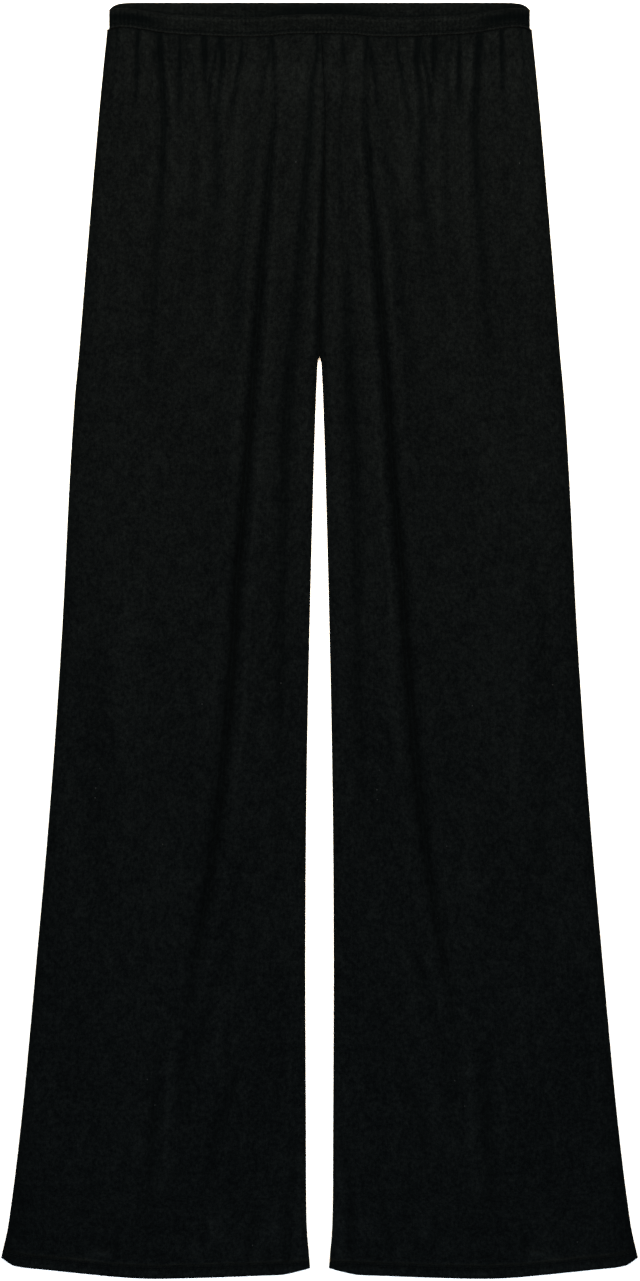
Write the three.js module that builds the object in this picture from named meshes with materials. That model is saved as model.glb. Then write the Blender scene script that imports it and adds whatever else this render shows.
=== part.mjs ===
// Straight-leg pull-on trousers of thin jersey, laid out flat on their back.
//
// They are six cut pieces: two fronts, two backs and a narrow elastic
// waistband in a front and a back half. The backs lie flat on the surface, the
// fronts lie on them with the soft folds and gathers of the cloth, and the
// hems are turned up inside, so that the wall is double there.
//
// Millimetres. X runs across, towards the wearer's left, Y from hem to waist
// and Z up. The origin is the middle of the underside. "down" is measured from
// the back waist edge towards the hem, and "out" from the middle of the
// garment towards a side seam.
import * as THREE from 'three';

// Driving sizes.
const fullLength = 1060; // back waist edge to the lowest point of the hem
const crotchDown = 294;
const clothWall = 1.2;
const seamGap = 0.3; // between two pieces that are sewn together
const rimBulge = 0.5; // how far a rounded edge stands past its two faces

const bandHeight = 14;
const bandWall = 2.4; // two layers of cloth with the elastic between them
const bandCornerDown = 5; // where the front and back halves meet, at the side
const bandHalfWidth = 174;
const frontBandDip = 7.5; // how far the front edge hangs below those corners
const frontBandLift = 2.7; // the stiffer middle seam holds the edge up
const frontBandLiftReach = 40;

const hemDepth = 11;
const hemWall = 2.1;
const hemRise = { inseam: 5, side: 13 }; // from the hem's lowest point
const hemCorner = 6.5; // rounding of the hem's two corners
const hemLowest = 0.45; // share of the way from inseam to side seam

const restLoft = 1; // how far flat cloth stands off the layer below
const edgeReach = 13; // the front rolls down to its edge over this distance
const waistLift = 1.1; // the front's top edge rises to the waistband
const waistLiftReach = 26;
const waistHold = 0.45; // share of the folds' rise that is left at the waist seam
const waistHoldReach = 18;

// A smooth curve through a short table's [at, value] rows, straight past its ends.
function curveThrough(rows) {
  const last = rows.length - 1;
  const slopes = rows.map((_, k) => {
    const [before, after] = [rows[Math.max(0, k - 1)], rows[Math.min(last, k + 1)]];
    return (after[1] - before[1]) / (after[0] - before[0]);
  });
  return (at) => {
    if (at <= rows[0][0]) return rows[0][1] + slopes[0] * (at - rows[0][0]);
    if (at >= rows[last][0]) return rows[last][1] + slopes[last] * (at - rows[last][0]);
    const k = rows.findIndex((row) => row[0] > at) - 1;
    const span = rows[k + 1][0] - rows[k][0];
    const t = (at - rows[k][0]) / span;
    const [t2, t3] = [t * t, t * t * t];
    return (
      (2 * t3 - 3 * t2 + 1) * rows[k][1] +
      (t3 - 2 * t2 + t) * span * slopes[k] +
      (3 * t2 - 2 * t3) * rows[k + 1][1] +
      (t3 - t2) * span * slopes[k + 1]
    );
  };
}

// The outline of one leg, a row for each level.
const outline = [
  { level: 'waist', down: 5, side: 174, inseam: 0 },
  { level: 'high hip', down: 80, side: 181.5, inseam: 0 },
  { level: 'hip', down: 214, side: 193, inseam: 0 },
  { level: 'crotch', down: 294, side: 199.5, inseam: 0 },
  { level: 'upper thigh', down: 330, side: 202.8, inseam: 2.3 },
  { level: 'thigh', down: 397, side: 207, inseam: 4.4 },
  { level: 'lower thigh', down: 530, side: 213.8, inseam: 7.8 },
  { level: 'knee', down: 663, side: 223, inseam: 10.2 },
  { level: 'calf', down: 796, side: 234.6, inseam: 11.1 },
  { level: 'shin', down: 929, side: 247.1, inseam: 10.6 },
  { level: 'ankle', down: 1015, side: 257.8, inseam: 10 },
  { level: 'hem', down: 1041, side: 263.4, inseam: 8 },
];
const crotchRound = { width: 1.5, reach: 2 }; // the blunt top of the leg gap

// The front's folds, a row for each. A fold is a furrow between two swells, and
// its path is a few [down, out] places along it. swell is the rise of the cloth
// round it, reach how far that spreads, pinch the share of the rise that the
// furrow takes away, and width its half width. fadeIn and fadeOut are the
// lengths over which it starts and ends.
const folds = [
  { name: 'seam', legs: 'both', path: [[30, 0], [420, 0]],
    swell: 2.4, reach: 16, pinch: 0.9, width: 4, fadeIn: 90, fadeOut: 110 },
  { name: 'inner', legs: 'right', path: [[60, 4], [156, 13.3], [272, 22.5], [397, 31], [670, 37.5]],
    swell: 4.4, reach: 17, pinch: 0.85, width: 5, fadeIn: 60, fadeOut: 240 },
  { name: 'inner', legs: 'left', path: [[190, 17], [231, 21], [314, 25.5], [397, 31], [670, 36]],
    swell: 4.4, reach: 17, pinch: 0.85, width: 5, fadeIn: 90, fadeOut: 240 },
  { name: 'long', legs: 'both',
    path: [[24, 40], [95, 38.5], [207, 46.6], [463, 66.6], [689, 87.4], [811, 103], [905, 117]],
    swell: 6.8, reach: 26, pinch: 0.92, width: 6.5, fadeIn: 130, fadeOut: 200 },
  { name: 'thigh', legs: 'both', path: [[76, 52], [218, 67], [330, 86], [410, 89]],
    swell: 1.4, reach: 20, pinch: 0.4, width: 8, fadeIn: 90, fadeOut: 120 },
  { name: 'gather 1', legs: 'both', path: [[24, 66], [84, 69]],
    swell: 1.5, reach: 10, pinch: 0.45, width: 3, fadeIn: 0, fadeOut: 58 },
  { name: 'gather 2', legs: 'both', path: [[24, 81.5], [97, 86.5], [250, 91]],
    swell: 2.8, reach: 12, pinch: 0.75, width: 3.5, fadeIn: 0, fadeOut: 190 },
  { name: 'gather 3', legs: 'both', path: [[22, 96.5], [96, 91.5]],
    swell: 2.4, reach: 10, pinch: 0.7, width: 3, fadeIn: 0, fadeOut: 64 },
  { name: 'gather 4', legs: 'both', path: [[20, 115.5], [100, 115.5]],
    swell: 1.8, reach: 10, pinch: 0.6, width: 3, fadeIn: 10, fadeOut: 50 },
  { name: 'gather 5', legs: 'both', path: [[20, 132], [106, 130], [189, 134], [262, 139.5]],
    swell: 3.4, reach: 13, pinch: 0.85, width: 4, fadeIn: 0, fadeOut: 170 },
  { name: 'gather 6', legs: 'both', path: [[18, 151], [92, 152]],
    swell: 2, reach: 9, pinch: 0.7, width: 3, fadeIn: 0, fadeOut: 56 },
  { name: 'outer', legs: 'both', path: [[470, 181], [800, 176]],
    swell: 1.2, reach: 28, pinch: 0.4, width: 11, fadeIn: 120, fadeOut: 140 },
  { name: 'calf', legs: 'both', path: [[790, 79], [854, 96.5], [900, 101]],
    swell: 1.2, reach: 20, pinch: 0.4, width: 6, fadeIn: 40, fadeOut: 50 },
  { name: 'shin', legs: 'both', path: [[860, 73], [904, 78], [975, 88.5]],
    swell: 1.2, reach: 18, pinch: 0.5, width: 6, fadeIn: 40, fadeOut: 50 },
  { name: 'ankle', legs: 'both', path: [[870, 140.5], [1010, 143.5]],
    swell: 1.4, reach: 22, pinch: 0.5, width: 7, fadeIn: 50, fadeOut: 60 },
  { name: 'inseam', legs: 'both', path: [[930, 24.5], [1046, 23.5]],
    swell: 1, reach: 12, pinch: 0.5, width: 4, fadeIn: 50, fadeOut: 10 },
].map((fold) => ({ ...fold, from: fold.path[0][0], to: fold.path.at(-1)[0], outAt: curveThrough(fold.path) }));

// How close together the sections of a piece are, from its top downwards.
const frontSections = [
  { until: 96, step: 11 },
  { until: 300, step: 24 },
  { until: 900, step: 46 },
  { until: 1030, step: 32 },
];
const backSections = [
  { until: 420, step: 42 },
  { until: 1030, step: 76 },
];
const frontColumns = { toInner: 3, toLong: 4, toGather: 3 };
const backColumns = 10;
const bandSections = 44;

const sideCurve = curveThrough(outline.map((row) => [row.down, row.side]));
const inseamCurve = curveThrough(outline.map((row) => [row.down, row.inseam]));
const sideOut = (down) => sideCurve(down) - rimBulge;

function inseamOut(down) {
  const below = down - crotchDown;
  const seam = seamGap / 2 + rimBulge;
  if (below <= 0) return seam;
  return seam + inseamCurve(down) + crotchRound.width * (1 - Math.exp(-below / crotchRound.reach));
}

// The line that the hem follows at a share of the way from inseam to side
// seam, and how much its rounded corners take off it.
function hemLine(share) {
  const inner = share < hemLowest;
  const away = Math.abs(share - hemLowest) / (inner ? hemLowest : 1 - hemLowest);
  return fullLength - (inner ? hemRise.inseam : hemRise.side) * away * away;
}

function hemCornerCut(share) {
  const level = fullLength - hemRise.side;
  const toCorner = Math.min(share, 1 - share) * (sideOut(level) - inseamOut(level));
  const cut = Math.max(0, 1 - toCorner / hemCorner);
  return hemCorner * (1 - Math.sqrt(1 - cut * cut));
}

// The waistband's top edge on each half. Both halves end at the same corner.
function bandTop(half, out) {
  const across = Math.min(1, Math.abs(out) / bandHalfWidth);
  const round = Math.sqrt(1 - across * across);
  if (half === 'front') {
    const lift = frontBandLift * Math.exp(-((out / frontBandLiftReach) ** 2));
    return bandCornerDown + frontBandDip * round - lift;
  }
  return bandCornerDown * across ** 10;
}

const panelTop = (half, out) => bandTop(half, out) + bandHeight + seamGap;

function foldStrength(fold, down) {
  const start = fold.fadeIn ? THREE.MathUtils.smoothstep(down, fold.from, fold.from + fold.fadeIn) : 1;
  return start * (1 - THREE.MathUtils.smoothstep(down, fold.to - fold.fadeOut, fold.to));
}

const bell = (x) => Math.exp(-x * x);

// How far the front stands off what it lies on, at a place on one leg. The
// waist seam holds the folds down, and the cloth rolls down to its edges.
function loft(leg, out, down) {
  let rise = restLoft;
  let kept = 1;
  for (const fold of folds) {
    if (fold.legs !== 'both' && fold.legs !== leg) continue;
    const strength = foldStrength(fold, down);
    const away = out - fold.outAt(down);
    rise += fold.swell * strength * bell(away / fold.reach);
    kept *= 1 - fold.pinch * strength * bell(away / fold.width);
  }
  const fromTop = down - panelTop('front', out);
  const free = waistHold + (1 - waistHold) * THREE.MathUtils.smoothstep(fromTop, 0, waistHoldReach);
  const apart = THREE.MathUtils.smoothstep(down, crotchDown - edgeReach, crotchDown + edgeReach);
  const toInseam = THREE.MathUtils.lerp(edgeReach, Math.min(edgeReach, out - inseamOut(down)), apart);
  const toEdge = THREE.MathUtils.clamp(Math.min(toInseam, sideOut(down) - out) / edgeReach, 0, 1);
  return rise * kept * free * (1 - (1 - toEdge) ** 2);
}

// The underside of the front cloth: it rests on the back, on the back's hem,
// and rises to the waistband at its top.
function frontUnderside(leg, out, down) {
  const share = THREE.MathUtils.clamp((out - inseamOut(down)) / (sideOut(down) - inseamOut(down)), 0, 1);
  const hemTop = hemLine(share) - hemDepth;
  const onHem = (hemWall - clothWall) * THREE.MathUtils.smoothstep(down, hemTop - 8, hemTop - 1);
  const fromTop = down - panelTop('front', out);
  const toSide = THREE.MathUtils.clamp((sideOut(down) - out) / edgeReach, 0, 1);
  const onBand = waistLift * toSide * (1 - THREE.MathUtils.smoothstep(fromTop, 0, waistLiftReach));
  return clothWall + seamGap + onHem + onBand + loft(leg, out, down);
}

const slopeStep = 0.5;

function frontNormal(leg, out, down) {
  const across = frontUnderside(leg, out + slopeStep, down) - frontUnderside(leg, out - slopeStep, down);
  const along = frontUnderside(leg, out, down + slopeStep) - frontUnderside(leg, out, down - slopeStep);
  return new THREE.Vector3(-across, along, 2 * slopeStep).normalize();
}

// The places across a front at one level, following its long folds and, near
// the waist, its gathers.
const innerGuide = folds.find((fold) => fold.name === 'inner');
const longGuide = folds.find((fold) => fold.name === 'long');
const gathers = folds.filter((fold) => fold.name.startsWith('gather'));

function frontOuts(down) {
  const [start, end] = [inseamOut(down), sideOut(down)];
  const inner = innerGuide.outAt(down);
  const long = longGuide.outAt(down);
  const settled = THREE.MathUtils.smoothstep(down, 120, 300);
  const stops = [start, Math.max(inner, start + 4), long];
  gathers.forEach((gather, i) => {
    const even = THREE.MathUtils.lerp(long, end, (i + 1) / (gathers.length + 1));
    stops.push(THREE.MathUtils.lerp(gather.outAt(Math.min(down, gather.to)), even, settled));
  });
  stops.push(end);
  const outs = [];
  stops.slice(1).forEach((stop, i) => {
    const pieces = [frontColumns.toInner, frontColumns.toLong][i] ?? frontColumns.toGather;
    for (let k = 0; k < pieces; k++) outs.push(THREE.MathUtils.lerp(stops[i], stop, k / pieces));
  });
  return [...outs, end];
}

function backOuts(down) {
  const [start, end] = [inseamOut(down), sideOut(down)];
  return Array.from({ length: backColumns + 1 }, (_, k) => THREE.MathUtils.lerp(start, end, k / backColumns));
}

// The levels of a piece's sections. The last ones are the step of the turned-up
// hem and its rounded fold; thin is the share of the wall that is left there.
function levelsOf(sections, top) {
  const levels = [];
  let down = top;
  for (const zone of sections) {
    const count = Math.round((zone.until - down) / zone.step);
    for (let k = 0; k < count; k++) levels.push({ down: down + ((zone.until - down) * k) / count, thin: 1 });
    down = zone.until;
  }
  const hemTop = fullLength - hemDepth;
  const steps = [
    { down: hemTop - 9, thin: 1 },
    { down: hemTop - 0.6, thin: 1 },
    { down: hemTop, thin: 1 },
    { down: fullLength - 0.8, thin: 1 },
    { down: fullLength, thin: 0.45 },
  ];
  return [...levels, { down, thin: 1 }, ...steps];
}

// A level bends to run along the waist seam at its top and the hem at its foot.
function bentDown(half, level, top, out, share) {
  const atWaist = (panelTop(half, out) - top) * (1 - THREE.MathUtils.smoothstep(level.down, top, 150));
  const hemTop = fullLength - hemDepth;
  const atHem = (hemLine(share) - fullLength) * THREE.MathUtils.smoothstep(level.down, 860, hemTop - 20);
  const atCorner = hemCornerCut(share) * THREE.MathUtils.smoothstep(level.down, hemTop, fullLength - 0.8);
  return level.down + atWaist + atHem - atCorner;
}

// One ring round a wall: its upper face outwards, then its lower face back.
function ringOf(upper, lower) {
  const rim = (a, b, outwards) =>
    new THREE.Vector3((a.x + b.x) / 2 + outwards * rimBulge, (a.y + b.y) / 2, (a.z + b.z) / 2);
  const last = upper.length - 1;
  return [...upper, rim(upper[last], lower[last], 1), ...[...lower].reverse(), rim(upper[0], lower[0], -1)];
}

// A closed solid through rings of the same count, with flat ends. Each end is
// closed across the wall, between the ring's two faces.
function loftThrough(rings) {
  const size = rings[0].length;
  const positions = rings.flat().flatMap((point) => [point.x, point.y, point.z]);
  const faces = [];
  for (let r = 0; r + 1 < rings.length; r++) {
    for (let k = 0; k < size; k++) {
      const [a, b] = [r * size + k, r * size + ((k + 1) % size)];
      faces.push(a, a + size, b, b, a + size, b + size);
    }
  }
  const half = size / 2 - 1; // the ring's two faces run 0..half-1 and back
  for (const [start, turned] of [[0, false], [(rings.length - 1) * size, true]]) {
    const across = [[start + size - 1, start + size - 1]];
    for (let k = 0; k < half; k++) across.push([start + k, start + size - 2 - k]);
    across.push([start + half, start + half]);
    across.slice(1).forEach(([upperB, lowerB], k) => {
      const [upperA, lowerA] = across[k];
      const quad = [[upperA, upperB, lowerB], [upperA, lowerB, lowerA]];
      for (const [p, q, s] of quad) {
        if (p === q || q === s || p === s) continue;
        faces.push(...(turned ? [p, s, q] : [p, q, s]));
      }
    });
  }
  const geometry = new THREE.BufferGeometry();
  geometry.setAttribute('position', new THREE.Float32BufferAttribute(positions, 3));
  geometry.setIndex(faces);
  geometry.computeVertexNormals();
  return geometry;
}

// A piece is shaped on the wearer's left, where X is "out", and mirrored for
// the right by turning each ring's X round and its order back.
const yOf = (down) => fullLength / 2 - down;

function placed(rings, leg) {
  if (leg === 'left') return rings;
  return [...rings].reverse().map((ring) => ring.map((point) => new THREE.Vector3(-point.x, point.y, point.z)));
}

function frontPanel(leg) {
  const top = panelTop('front', 0);
  const rings = levelsOf(frontSections, top).map((level) => {
    const outs = frontOuts(level.down);
    const upper = [];
    const lower = [];
    outs.forEach((nominal, k) => {
      const share = (nominal - outs[0]) / (outs[outs.length - 1] - outs[0]);
      const down = bentDown('front', level, top, nominal, share);
      const out = THREE.MathUtils.lerp(inseamOut(down), sideOut(down), share);
      const normal = frontNormal(leg, out, down);
      if (k === 0 || k === outs.length - 1) normal.setX(0).normalize();
      if (level.down === top) normal.setY(0).normalize();
      const wall = level.down >= fullLength - hemDepth ? hemWall : clothWall;
      const foot = new THREE.Vector3(out, yOf(down), frontUnderside(leg, out, down));
      lower.push(foot.clone().addScaledVector(normal, (wall * (1 - level.thin)) / 2));
      upper.push(foot.clone().addScaledVector(normal, (wall * (1 + level.thin)) / 2));
    });
    return ringOf(upper, lower);
  });
  return loftThrough(placed(rings, leg));
}

function backPanel(leg) {
  const top = panelTop('back', 0);
  const rings = levelsOf(backSections, top).map((level) => {
    const outs = backOuts(level.down);
    const upper = [];
    const lower = [];
    outs.forEach((nominal) => {
      const share = (nominal - outs[0]) / (outs[outs.length - 1] - outs[0]);
      const down = bentDown('back', level, top, nominal, share);
      const out = THREE.MathUtils.lerp(inseamOut(down), sideOut(down), share);
      const wall = level.down >= fullLength - hemDepth ? hemWall : clothWall;
      lower.push(new THREE.Vector3(out, yOf(down), (wall * (1 - level.thin)) / 2));
      upper.push(new THREE.Vector3(out, yOf(down), (wall * (1 + level.thin)) / 2));
    });
    return ringOf(upper, lower);
  });
  return loftThrough(placed(rings, leg));
}

// The waistband's section, from its upper edge down: [down, height] as shares
// of the band's height and wall. Its upper face is domed over the elastic.
const bandUpper = [[0.04, 0.72], [0.14, 0.93], [0.5, 1], [0.86, 0.93], [0.97, 0.76]];
const bandLower = [[0.04, 0.22], [0.14, 0], [0.5, 0], [0.86, 0], [0.97, 0.18]];

function waistband(half) {
  const base = half === 'back' ? 0 : bandWall + seamGap;
  const rings = [];
  for (let k = 0; k <= bandSections; k++) {
    const across = (2 * k) / bandSections - 1;
    const out = bandHalfWidth * Math.sin((across * Math.PI) / 2);
    const top = bandTop(half, out);
    const point = ([share, height]) =>
      new THREE.Vector3(out, yOf(top + share * bandHeight), base + height * bandWall);
    const edge = (share) => new THREE.Vector3(out, yOf(top + share * bandHeight), base + bandWall / 2);
    rings.push([...bandUpper.map(point), edge(1), ...bandLower.map(point).reverse(), edge(0)]);
  }
  return loftThrough(rings.reverse());
}

const jersey = new THREE.MeshStandardMaterial({ color: 0x131615, roughness: 0.85, metalness: 0 });
const band = new THREE.MeshStandardMaterial({ color: 0x121413, roughness: 0.9, metalness: 0 });

function piece(name, geometry, material) {
  const mesh = new THREE.Mesh(geometry, material);
  mesh.name = name;
  return mesh;
}

const trousers = new THREE.Group();
trousers.name = 'trousers';
for (const leg of ['left', 'right']) {
  trousers.add(piece(`back_${leg}`, backPanel(leg), jersey));
  trousers.add(piece(`front_${leg}`, frontPanel(leg), jersey));
}
trousers.add(piece('waistband_back', waistband('back'), band));
trousers.add(piece('waistband_front', waistband('front'), band));

export default trousers;
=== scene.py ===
import math

import bpy
import numpy as np
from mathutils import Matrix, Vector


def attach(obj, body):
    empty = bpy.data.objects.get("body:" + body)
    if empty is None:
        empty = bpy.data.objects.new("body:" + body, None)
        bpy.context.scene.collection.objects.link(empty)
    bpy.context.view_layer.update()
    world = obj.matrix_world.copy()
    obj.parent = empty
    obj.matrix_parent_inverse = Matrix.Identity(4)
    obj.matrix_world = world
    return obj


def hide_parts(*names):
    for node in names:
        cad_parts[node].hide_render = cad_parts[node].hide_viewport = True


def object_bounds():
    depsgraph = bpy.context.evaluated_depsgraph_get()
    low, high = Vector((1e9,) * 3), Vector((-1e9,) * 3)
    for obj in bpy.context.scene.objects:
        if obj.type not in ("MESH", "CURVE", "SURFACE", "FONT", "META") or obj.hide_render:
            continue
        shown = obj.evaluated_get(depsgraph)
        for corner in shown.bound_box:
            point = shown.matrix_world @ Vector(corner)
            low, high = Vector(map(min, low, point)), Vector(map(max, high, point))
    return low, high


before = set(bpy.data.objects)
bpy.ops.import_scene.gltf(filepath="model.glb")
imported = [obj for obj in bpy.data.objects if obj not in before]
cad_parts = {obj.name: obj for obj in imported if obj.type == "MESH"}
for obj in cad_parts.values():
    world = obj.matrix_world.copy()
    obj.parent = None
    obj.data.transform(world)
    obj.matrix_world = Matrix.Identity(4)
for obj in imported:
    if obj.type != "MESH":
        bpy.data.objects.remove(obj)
cadBox = [list(corner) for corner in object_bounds()]
bpy.ops.object.select_all(action="DESELECT")
mm = 0.001
waistY = cadBox[1][1] / mm  # the back waist edge, where down is 0
sideOf = {"left": 1, "right": -1}  # the wearer's left leg lies to +X
print("frame loaded, solids", [round(high - low, 4) for low, high in zip(*cadBox)])

rng = np.random.default_rng(41)


# Small helpers for shapes that are worked out along and across the cloth.

def smoothCurve(rows):
    # a smooth line through [at, value] rows, straight past its ends
    at, value = np.array(rows, float).T
    slope = np.gradient(value, at)
    slope[1:-1] = (value[2:] - value[:-2]) / (at[2:] - at[:-2])

    def curve(x):
        x = np.asarray(x, float)
        k = np.clip(np.searchsorted(at, x, side="right") - 1, 0, len(at) - 2)
        span = at[k + 1] - at[k]
        t = np.clip((x - at[k]) / span, 0, 1)
        inside = (
            (2 * t**3 - 3 * t**2 + 1) * value[k]
            + (t**3 - 2 * t**2 + t) * span * slope[k]
            + (3 * t**2 - 2 * t**3) * value[k + 1]
            + (t**3 - t**2) * span * slope[k + 1]
        )
        return inside + np.minimum(x - at[0], 0) * slope[0] + np.maximum(x - at[-1], 0) * slope[-1]

    return curve


def ease(x, start, end):
    t = np.clip((x - start) / (end - start), 0, 1)
    return t * t * (3 - 2 * t)


def bell(x):
    return np.exp(-x * x)


def mix(a, b, t):
    return a + (b - a) * t


def spread(start, end, count, bunch):
    # places from start to end, gathered a little towards both
    t = np.arange(count) / count
    t = mix(t, 0.5 - 0.5 * np.cos(math.pi * t), bunch)
    return np.concatenate([start[:, None] + (end - start)[:, None] * t, end[:, None]], axis=1)


def unit(rows):
    return rows / np.linalg.norm(rows, axis=1, keepdims=True)


# The cut and how it lies. These are the driving sizes of every cloth piece.
trousers = {
    "length": 1060.7,
    "crotchDown": 294,
    "seamGap": 0.06,  # sewn edges all but touch
    "edgeFullness": 0.85,  # how far the soft edges stand past the seam lines
    "clothThickness": 0.6,
    "hemRiseInseam": 5,
    "hemRiseSide": 13,
    "hemLowest": 0.45,
    "crotchRoundWidth": 1.5,
    "crotchRoundReach": 2,
}

# down, half width at the side seam, half the gap between the legs
outline = [
    (5, 174, 0), (80, 181.5, 0), (214, 193, 0), (294, 199.5, 0), (330, 202.8, 2.3), (397, 207, 4.4),
    (530, 213.8, 7.8), (663, 223, 10.2), (796, 234.6, 11.1), (929, 247.1, 10.6), (1015, 257.8, 10),
    (1041, 263.4, 8),
]
fullness = trousers["edgeFullness"]
sideCurve = smoothCurve([(down, side + fullness) for down, side, _ in outline])
inseamCurve = smoothCurve([(down, max(0, inseam - fullness)) for down, _, inseam in outline])

# how far the centre front seam strays to the left: down, out
seamCurve = smoothCurve([
    (16, 1), (60, 3.4), (90, 4.8), (125, 4), (160, 3), (205, 2), (235, 0.6), (280, 0.1), (294, 0)])

# how much lower the hem hangs along the way from inseam to side: share, down
hemWander = smoothCurve([
    (0, 0.7), (0.06, 0.5), (0.19, -0.3), (0.36, -0.2), (0.53, 0.45), (0.62, 0), (0.73, -0.6), (0.845, -0.3),
    (0.92, 0.6), (0.96, 0.5), (1, 0.4)])

# the cut corners of the hem: how far along, how far up
hemCorners = {"inner": (24, 4.1), "outer": (11, 4.5), "bend": 1.2, "tip": (1.6, 1.2)}


def seamStray(down):
    crotch = trousers["crotchDown"]
    return np.where(down < crotch, seamCurve(np.minimum(down, crotch)), 0)


def inseamOut(down, stray=0):
    # stray is 1 for the left front, -1 for the right front and 0 for the backs
    below = np.maximum(down - trousers["crotchDown"], 0)
    rounding = trousers["crotchRoundWidth"] * (1 - np.exp(-below / trousers["crotchRoundReach"]))
    start = trousers["seamGap"] / 2 + np.where(below > 0, inseamCurve(down), 0) + rounding
    return start + stray * seamStray(down)


def hemLine(share):
    lowest = trousers["hemLowest"]
    inner = share < lowest
    away = np.where(inner, (lowest - share) / lowest, (share - lowest) / (1 - lowest))
    rise = np.where(inner, trousers["hemRiseInseam"], trousers["hemRiseSide"])
    return trousers["length"] - rise * away**2 + hemWander(np.clip(share, 0, 1))


def hemCornerCut(share):
    level = trousers["length"] - trousers["hemRiseSide"]
    width = sideCurve(level) - inseamOut(level)
    tipReach, tipHeight = hemCorners["tip"]
    cut = 0
    for (reach, height), along in ((hemCorners["inner"], share), (hemCorners["outer"], 1 - share)):
        cut = cut + height * np.clip(1 - along * width / reach, 0, 1) ** hemCorners["bend"]
        cut = cut + tipHeight * np.clip(1 - along * width / tipReach, 0, 1) ** 2
    return cut


# The folds of the fronts. A fold is a furrow between two swells of the cloth, on both legs
# unless it names one. Its path rows are down, out, depth and width: where it runs, how much of
# the swell its furrow takes away, and the furrow's half width. swell, reach: how far the cloth
# rises and how wide, at the fold's widest. dark: how much shade is painted into the furrow.
# soft: how rounded its bottom is. crest: how much highlight is painted on its two sides.
folds = []


def addFold(name, swell, reach, dark, soft, path, legs="both", crest=1):
    downs, outs, depths, widths = np.array(path, float).T
    folds.append(dict(
        name=name, swell=swell, reach=reach, dark=dark, soft=soft, legs=legs, crest=crest,
        downs=downs, depths=depths, widths=widths, outAt=smoothCurve(list(zip(downs, outs))),
    ))


addFold("seam", 1.9, 10, 2, 0.15, legs="left", crest=0.6, path=[
    (85, 4.8, 0.05, 1.5), (97, 4.8, 0.14, 1.5), (125, 4, 0.7, 1.7), (160, 3, 1, 2.4), (205, 2, 1, 2.5),
    (235, 0.6, 1, 2.8), (290, 0, 1, 3), (306, 0, 0, 3)])
addFold("inner", 4, 17, 1, 0.2, legs="right", crest=0.4, path=[
    (22, 1.5, 0.64, 1.8), (44, 2.2, 0.66, 2), (60, 5.4, 0.8, 2.8), (97, 8, 1, 3.2),
    (125, 9.8, 0.98, 3.6), (160, 13, 0.95, 4.2), (205, 15.6, 0.86, 5), (260, 21, 0.84, 5.4),
    (320, 25.6, 0.88, 6.8), (390, 29.2, 0.82, 6), (470, 31, 0.66, 5.4), (560, 32, 0.48, 5),
    (650, 34.4, 0.27, 5), (780, 38, 0, 5)])
addFold("inner", 4, 17, 1, 0.2, legs="left", crest=0.5, path=[
    (22, 18.5, 0.3, 1.6), (44, 20, 0.55, 1.6), (57, 21, 0.15, 1.8), (75, 20.5, 0.3, 2),
    (97, 17, 0.12, 2), (125, 17, 0.28, 2.2), (160, 18, 0.33, 2.6), (205, 21.6, 0.24, 3.4),
    (262, 23.2, 0.74, 5.2), (320, 25, 0.86, 6.8), (390, 29.2, 0.8, 6), (470, 31, 0.64, 5.4),
    (560, 31.8, 0.48, 5), (650, 34, 0.3, 5), (780, 38, 0, 5)])
addFold("long", 6.8, 26, 1.1, 0.12, crest=0.75, path=[
    (22, 40.6, 0.6, 1.8), (44, 38.6, 0.56, 1.9), (60, 38.2, 0.22, 2), (97, 38.2, 0.5, 2.8),
    (125, 40.6, 0.75, 3.2), (160, 43.4, 0.76, 3.6), (205, 47.2, 0.86, 4), (245, 50.2, 0.96, 4.2),
    (325, 56.2, 0.95, 4.6), (425, 63.8, 0.96, 4.8), (475, 68.4, 0.98, 4.7), (525, 71.2, 0.92, 5.2),
    (590, 76.4, 0.82, 6.2), (675, 84.6, 0.73, 6.2), (740, 93.8, 0.58, 5.6), (790, 102.2, 0.48, 5),
    (830, 108.6, 0.32, 4.6), (880, 113, 0.2, 4), (930, 119, 0, 4)])
addFold("thigh", 2.2, 16, 1, 0.4, [
    (30, 42, 0.1, 1.6), (44, 42.4, 0.5, 1.6), (58, 46, 0.4, 1.8), (75, 48.8, 0.3, 2.2),
    (97, 52.4, 0.24, 3), (125, 57.5, 0.4, 3.4), (160, 62, 0.34, 4), (205, 67.4, 0.36, 4.6),
    (260, 72, 0.3, 6), (330, 84, 0.24, 7), (420, 89, 0, 8)])
addFold("gather 1", 1.6, 8, 1.3, 0.2, [
    (22, 64, 0.2, 1.3), (44, 65.2, 0.5, 1.6), (58, 68, 0.6, 1.8), (76, 70.6, 0.45, 2.2),
    (97, 74, 0.26, 2.6), (128, 76, 0, 3)])
addFold("gather 2", 2.6, 12, 1.7, 0.2, [
    (20, 82.4, 1, 2.1), (34, 82, 1, 2.2), (48, 80.4, 1, 2.1), (62, 82.4, 0.55, 1.9),
    (97, 86, 0.52, 2.8), (125, 85.4, 0.48, 3.6), (160, 86.2, 0.38, 4.6), (205, 91.4, 0.26, 5.4),
    (262, 96, 0.1, 6), (330, 100, 0, 6)])
addFold("gather 2b", 1.4, 7, 1.3, 0.2, [
    (30, 85.6, 0, 1.2), (44, 86.2, 0.42, 1.4), (60, 90, 0.46, 1.7), (78, 92.2, 0.62, 1.9),
    (104, 93, 0, 2.4)])
addFold("gather 3", 2, 9, 1.8, 0.2, [
    (20, 96.2, 1, 2), (40, 95.6, 1, 2.2), (54, 95.4, 0.55, 2), (70, 95.2, 0.2, 2), (88, 94, 0, 2)])
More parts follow.
